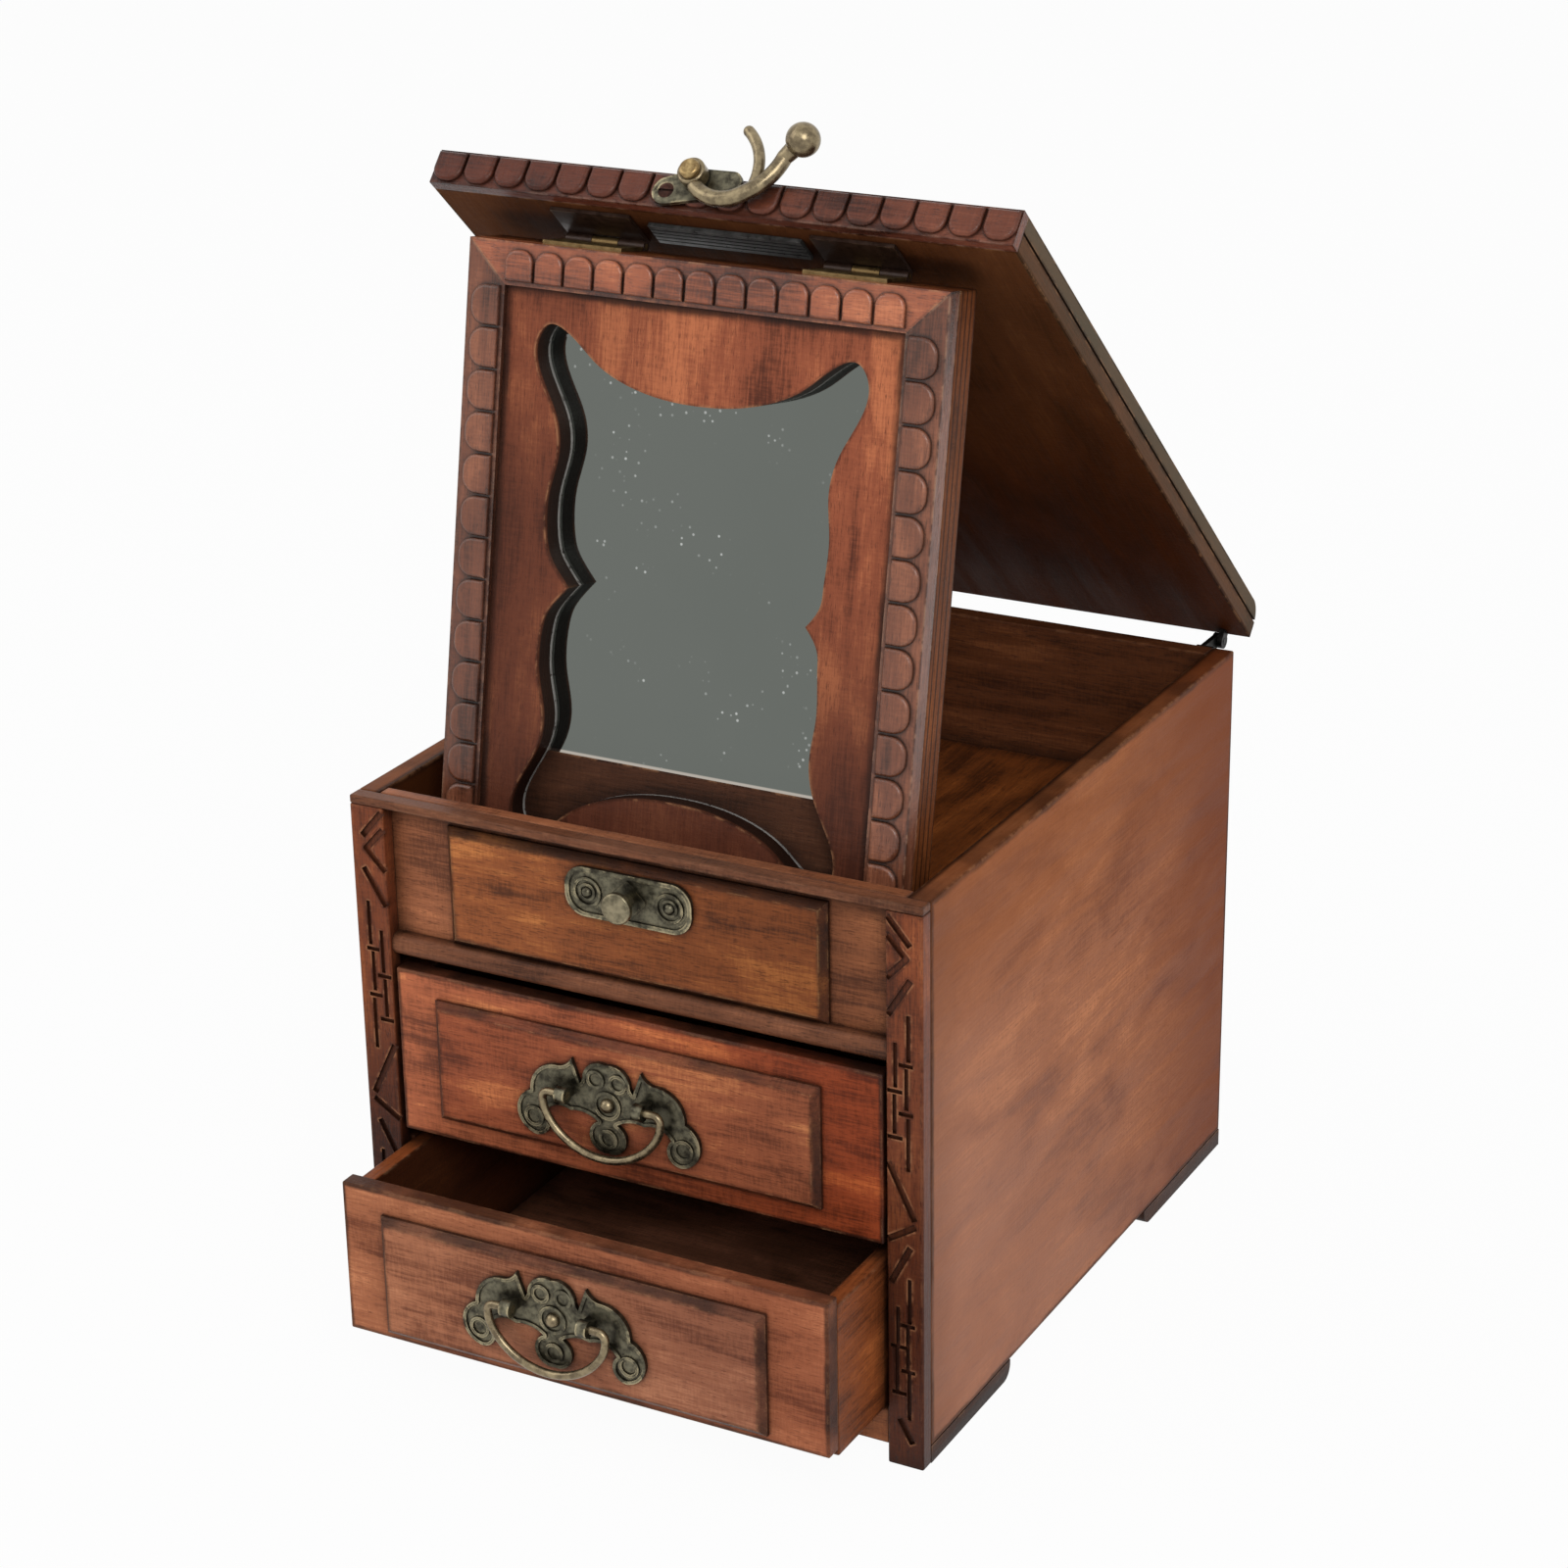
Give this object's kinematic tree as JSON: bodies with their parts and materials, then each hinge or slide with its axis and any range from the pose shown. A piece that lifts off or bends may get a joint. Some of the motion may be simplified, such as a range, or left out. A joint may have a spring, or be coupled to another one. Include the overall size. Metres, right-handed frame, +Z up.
{
  "type": "vanity box with mirror",
  "caption": "Red-brown wooden vanity box with a raised lid, a hinged mirror in a carved frame, bronze pulls and a lower drawer part open.",
  "frame": {"origin": "on the floor under the middle of the whole object's box, as it stands at rest", "axes": "+Z up, +X to the right seen from the front, +Y from the drawers to the back"},
  "size_m": [0.18, 0.2806, 0.359],
  "materials": {
    "stained_wood": "stained and varnished, satin",
    "dark_wood": "dark stain, satin",
    "carved_wood": "carved, stained, satin",
    "raw_wood": "thin stain, matte",
    "frame_edge_wood": "layered board, satin",
    "bronze": "aged, rubbed bright on the crests",
    "hinge_brass": "worn satin",
    "dark_iron": "black",
    "mirror": "silvered glass",
    "ribbed_strip": "ribbed, matte"
  },
  "bodies": {
    "box": {"side_right": "stained_wood", "side_left": "stained_wood", "base_board": "raw_wood", "drawer_divider": "raw_wood", "tray_floor": "raw_wood", "apron": "dark_wood", "stile_right": "carved_wood", "stile_left": "carved_wood", "front_panel": "dark_wood", "top_strip": "dark_wood", "half_round_rail": "dark_wood", "front_panel_field": "stained_wood", "feet": "dark_wood", "upper_drawer_guides": "raw_wood", "lower_drawer_guides": "raw_wood", "catch_plate": "bronze", "catch_pins": "bronze", "catch_stud": "bronze", "back_panel": "stained_wood", "rear_hinge_brackets": "dark_iron", "rear_hinge_pins": "dark_iron", "rear_hinge_screws": "dark_iron"},
    "upper_drawer": {"upper_pull_plate": "bronze", "upper_pull_pin": "bronze", "upper_drawer_front": "stained_wood", "upper_drawer_field": "stained_wood", "upper_drawer_sides": "stained_wood", "upper_drawer_back": "raw_wood", "upper_drawer_floor": "raw_wood"},
    "lower_drawer": {"lower_pull_plate": "bronze", "lower_pull_pin": "bronze", "lower_drawer_front": "stained_wood", "lower_drawer_field": "stained_wood", "lower_drawer_sides": "stained_wood", "lower_drawer_back": "raw_wood", "lower_drawer_floor": "raw_wood"},
    "upper_bail": {"upper_bail": "bronze"},
    "lower_bail": {"lower_bail": "bronze"},
    "lid": {"lid_board": "dark_wood", "lid_front_moulding": "carved_wood", "hook_plate": "bronze", "hook_rivet": "bronze", "hook_screw": "bronze", "lid_ribbed_strip": "ribbed_strip", "lid_hinge_lugs": "dark_iron", "mirror_hinge_lid_leaves": "hinge_brass", "mirror_hinge_pins": "hinge_brass"},
    "mirror": {"mirror_moulding_top": "carved_wood", "mirror_moulding_bottom": "carved_wood", "mirror_moulding_sides": "carved_wood", "mirror_frame_stiles": "frame_edge_wood", "mirror_frame_rails": "frame_edge_wood", "mirror_mat": "stained_wood", "mirror_glass": "mirror", "glass_rest": "raw_wood", "mirror_backing": "raw_wood", "mirror_hinge_frame_leaves": "hinge_brass"},
    "hook": {"hook": "bronze"}
  },
  "joints": [
    {"name": "upper_drawer_slide", "type": "slide", "parent": "box", "child": "upper_drawer", "axis": [0, -1, 0], "range_m": [0, 0.15]},
    {"name": "lower_drawer_slide", "type": "slide", "parent": "box", "child": "lower_drawer", "axis": [0, -1, 0], "range_m": [-0.033, 0.117]},
    {"name": "upper_bail_swing", "type": "hinge", "parent": "upper_drawer", "child": "upper_bail", "pos_m": [-0.0063, -0.10486, 0.0957], "axis": [-1, 0, 0], "range_deg": [0, 95]},
    {"name": "lower_bail_swing", "type": "hinge", "parent": "lower_drawer", "child": "lower_bail", "pos_m": [-0.0063, -0.13786, 0.0445], "axis": [-1, 0, 0], "range_deg": [0, 95]},
    {"name": "lid_hinge", "type": "hinge", "parent": "box", "child": "lid", "pos_m": [0, 0.13304, 0.1686], "axis": [-1, 0, 0], "range_deg": [0, 52.4]},
    {"name": "mirror_hinge", "type": "hinge", "parent": "lid", "child": "mirror", "pos_m": [0, -0.02918, 0.31913], "axis": [1, 0, 0], "range_deg": [0, 57.5]},
    {"name": "hook_swing", "type": "hinge", "parent": "lid", "child": "hook", "pos_m": [-0.0057, -0.0409, 0.34376], "axis": [0, 0.7361, -0.6769], "range_deg": [0, 95]}
  ]
}
